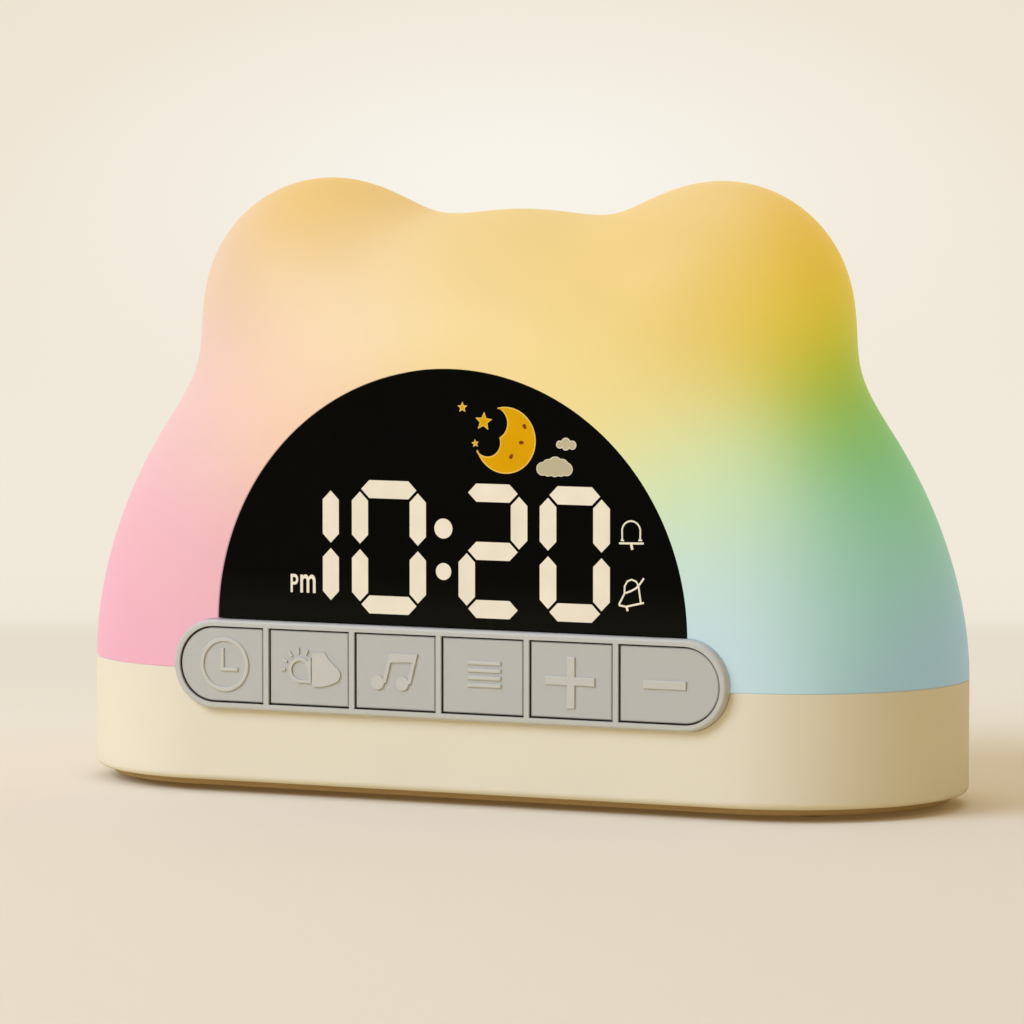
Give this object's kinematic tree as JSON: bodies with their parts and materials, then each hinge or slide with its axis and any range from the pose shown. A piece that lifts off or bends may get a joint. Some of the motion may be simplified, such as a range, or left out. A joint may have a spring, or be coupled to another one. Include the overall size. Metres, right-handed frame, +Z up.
{
  "type": "alarm clock with night light",
  "caption": "Children's digital alarm clock: eared translucent night light shade on a stadium base, half-round display and a bar of press keys.",
  "frame": {"origin": "middle of the clock's length and depth, on the plane that its feet stand on", "axes": "+X to the viewer's right along the length, +Y to the back, +Z up; the display faces -Y"},
  "size_m": [0.19, 0.0728, 0.1247],
  "materials": {
    "shade_plastic": "satin translucent",
    "cream_plastic": "satin",
    "grey_cover_plastic": "matte",
    "foot_rubber": "matte",
    "screw_steel": "plated",
    "white_plastic": "matte",
    "board_green": "solder mask",
    "lamp_white": "gloss",
    "lens_black": "gloss tinted",
    "diffuser_cream": "frosted",
    "bezel_grey": "satin",
    "key_grey": "satin",
    "switch_black": "matte",
    "chip_black": "matte",
    "socket_steel": "nickel",
    "basket_steel": "powder coat",
    "cone_paper": "matte",
    "magnet_steel": "plated",
    "battery_foil": "foil"
  },
  "bodies": {
    "clock_body": {"night_light_shade": "shade_plastic", "base_housing": "cream_plastic", "bottom_cover": "grey_cover_plastic", "rubber_feet": "foot_rubber", "cover_screws": "screw_steel", "inner_deck": "white_plastic", "deck_screws": "screw_steel", "light_board": "board_green", "light_board_screws": "screw_steel", "colour_leds": "lamp_white", "display_lens": "lens_black", "display_light_box": "white_plastic", "segment_diffusers": "diffuser_cream", "icon_diffusers": "diffuser_cream", "display_board": "board_green", "display_leds": "lamp_white", "display_screws": "screw_steel", "button_bezel": "bezel_grey", "key_board": "board_green", "key_board_screws": "screw_steel", "switch_cans": "switch_black", "main_board": "board_green", "main_board_screws": "screw_steel", "board_chips": "chip_black", "board_connectors": "white_plastic", "usb_socket": "socket_steel", "speaker_basket": "basket_steel", "speaker_cone": "cone_paper", "speaker_magnet": "magnet_steel", "battery_pack": "battery_foil"},
    "clock_key": {"key_clock": "key_grey", "plunger_clock": "switch_black"},
    "daynight_key": {"key_daynight": "key_grey", "plunger_daynight": "switch_black"},
    "music_key": {"key_music": "key_grey", "plunger_music": "switch_black"},
    "menu_key": {"key_menu": "key_grey", "plunger_menu": "switch_black"},
    "plus_key": {"key_plus": "key_grey", "plunger_plus": "switch_black"},
    "minus_key": {"key_minus": "key_grey", "plunger_minus": "switch_black"}
  },
  "joints": [
    {"name": "clock_key_press", "type": "slide", "parent": "clock_body", "child": "clock_key", "axis": [0, 1, 0], "range_m": [0, 0.0006], "stiffness_N_per_m": 400, "springref_m": -0.002},
    {"name": "daynight_key_press", "type": "slide", "parent": "clock_body", "child": "daynight_key", "axis": [0, 1, 0], "range_m": [0, 0.0006], "stiffness_N_per_m": 400, "springref_m": -0.002},
    {"name": "music_key_press", "type": "slide", "parent": "clock_body", "child": "music_key", "axis": [0, 1, 0], "range_m": [0, 0.0006], "stiffness_N_per_m": 400, "springref_m": -0.002},
    {"name": "menu_key_press", "type": "slide", "parent": "clock_body", "child": "menu_key", "axis": [0, 1, 0], "range_m": [0, 0.0006], "stiffness_N_per_m": 400, "springref_m": -0.002},
    {"name": "plus_key_press", "type": "slide", "parent": "clock_body", "child": "plus_key", "axis": [0, 1, 0], "range_m": [0, 0.0006], "stiffness_N_per_m": 400, "springref_m": -0.002},
    {"name": "minus_key_press", "type": "slide", "parent": "clock_body", "child": "minus_key", "axis": [0, 1, 0], "range_m": [0, 0.0006], "stiffness_N_per_m": 400, "springref_m": -0.002}
  ]
}
